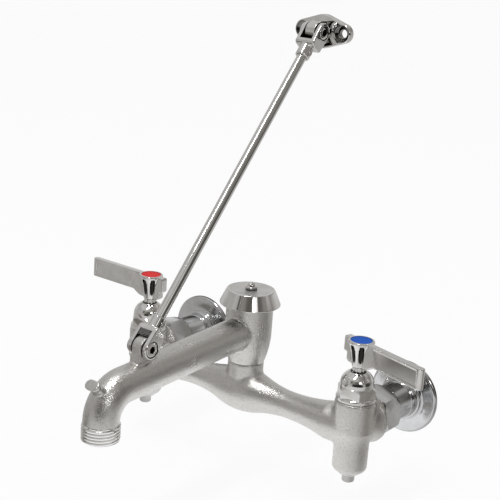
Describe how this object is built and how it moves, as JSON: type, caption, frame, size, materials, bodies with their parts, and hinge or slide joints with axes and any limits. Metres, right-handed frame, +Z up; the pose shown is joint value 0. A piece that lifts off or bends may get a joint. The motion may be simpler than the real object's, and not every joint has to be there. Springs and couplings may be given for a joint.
{
  "type": "service sink faucet",
  "caption": "Wall mounted service sink faucet: lever handles, integral stops, vacuum breaker, hose outlet with pail hook, and a brace up to the wall.",
  "frame": {"origin": "on the wall plane, midway between the two inlet axes", "axes": "+X to the cold side, +Y into the wall (so -Y to the user), +Z up"},
  "size_m": [0.3278, 0.2462, 0.3295],
  "materials": {
    "cast_chrome": "bright plating over a rough sand casting",
    "polished_chrome": "polished",
    "turned_chrome": "satin plating over turned metal",
    "brass": "machined",
    "steel": "machined",
    "ceramic": "lapped",
    "rubber": "moulded",
    "red_button": "glossy",
    "blue_button": "glossy"
  },
  "bodies": {
    "faucet": {"yoke_body": "cast_chrome", "connecting_nipple": "brass", "spout": "cast_chrome", "vacuum_breaker_seat": "brass", "vacuum_breaker_gasket": "rubber", "vacuum_breaker_bonnet": "brass", "vacuum_breaker_cap": "polished_chrome", "vacuum_breaker_nut": "polished_chrome", "hot_cartridge": "brass", "hot_seat_seal": "rubber", "hot_fixed_disc": "ceramic", "hot_bonnet": "polished_chrome", "hot_stop_seal": "rubber", "hot_coupling_nut": "turned_chrome", "hot_union_washer": "rubber", "hot_wall_flange": "turned_chrome", "cold_cartridge": "brass", "cold_seat_seal": "rubber", "cold_fixed_disc": "ceramic", "cold_bonnet": "polished_chrome", "cold_stop_seal": "rubber", "cold_coupling_nut": "turned_chrome", "cold_union_washer": "rubber", "cold_wall_flange": "turned_chrome"},
    "hot_lever": {"hot_handle": "polished_chrome", "hot_index_button": "red_button", "hot_handle_screw": "steel", "hot_stem": "brass", "hot_stem_seal": "rubber", "hot_turning_disc": "ceramic"},
    "cold_lever": {"cold_handle": "polished_chrome", "cold_index_button": "blue_button", "cold_handle_screw": "steel", "cold_stem": "brass", "cold_stem_seal": "rubber", "cold_turning_disc": "ceramic"},
    "vent_float": {"vacuum_breaker_float": "rubber"},
    "hot_stop_seat": {"hot_stop_washer": "rubber"},
    "hot_stop_screw": {"hot_stop_stem": "turned_chrome"},
    "cold_stop_seat": {"cold_stop_washer": "rubber"},
    "cold_stop_screw": {"cold_stop_stem": "turned_chrome"},
    "brace_foot": {"lower_clevis": "polished_chrome", "lower_pivot_screw": "steel", "lower_set_screw": "steel"},
    "brace_bar": {"brace_rod": "turned_chrome", "upper_clevis": "polished_chrome", "upper_pivot_screw": "steel", "upper_set_screw": "steel"},
    "brace_bracket": {"wall_bracket": "polished_chrome"}
  },
  "joints": [
    {"name": "hot_handle_turn", "type": "hinge", "parent": "faucet", "child": "hot_lever", "pos_m": [-0.1016, -0.073, 0.054], "axis": [0, 0, 1], "range_deg": [0, 90]},
    {"name": "cold_handle_turn", "type": "hinge", "parent": "faucet", "child": "cold_lever", "pos_m": [0.1016, -0.073, 0.054], "axis": [0, 0, -1], "range_deg": [-15.4, 74.6]},
    {"name": "vent_float_lift", "type": "slide", "parent": "faucet", "child": "vent_float", "axis": [0, 0, 1], "range_m": [0, 0.00295]},
    {"name": "hot_stop_lift", "type": "slide", "parent": "faucet", "child": "hot_stop_seat", "axis": [0, 0, 1], "range_m": [0, 0.00381]},
    {"name": "hot_stop_turn", "type": "hinge", "parent": "hot_stop_seat", "child": "hot_stop_screw", "pos_m": [-0.1016, -0.073, -0.04], "axis": [0, 0, 1], "range_deg": [0, 1080]},
    {"name": "cold_stop_lift", "type": "slide", "parent": "faucet", "child": "cold_stop_seat", "axis": [0, 0, 1], "range_m": [0, 0.00381]},
    {"name": "cold_stop_turn", "type": "hinge", "parent": "cold_stop_seat", "child": "cold_stop_screw", "pos_m": [0.1016, -0.073, -0.04], "axis": [0, 0, 1], "range_deg": [0, 1080]},
    {"name": "brace_foot_swing", "type": "hinge", "parent": "faucet", "child": "brace_foot", "pos_m": [0, -0.1931, 0.0606], "axis": [1, 0, 0], "range_deg": [-30, 60]},
    {"name": "brace_bar_slide", "type": "slide", "parent": "brace_foot", "child": "brace_bar", "axis": [0, 0.6494, 0.7604], "range_m": [0, 0.008]},
    {"name": "bracket_swing", "type": "hinge", "parent": "brace_bar", "child": "brace_bracket", "pos_m": [0, -0.01476, 0.26941], "axis": [1, 0, 0], "range_deg": [-35, 90]}
  ],
  "couplings": [
    {"joint": "hot_stop_turn", "follows": "hot_stop_lift", "rad_per_m": 4947.4},
    {"joint": "cold_stop_turn", "follows": "cold_stop_lift", "rad_per_m": 4947.4}
  ]
}
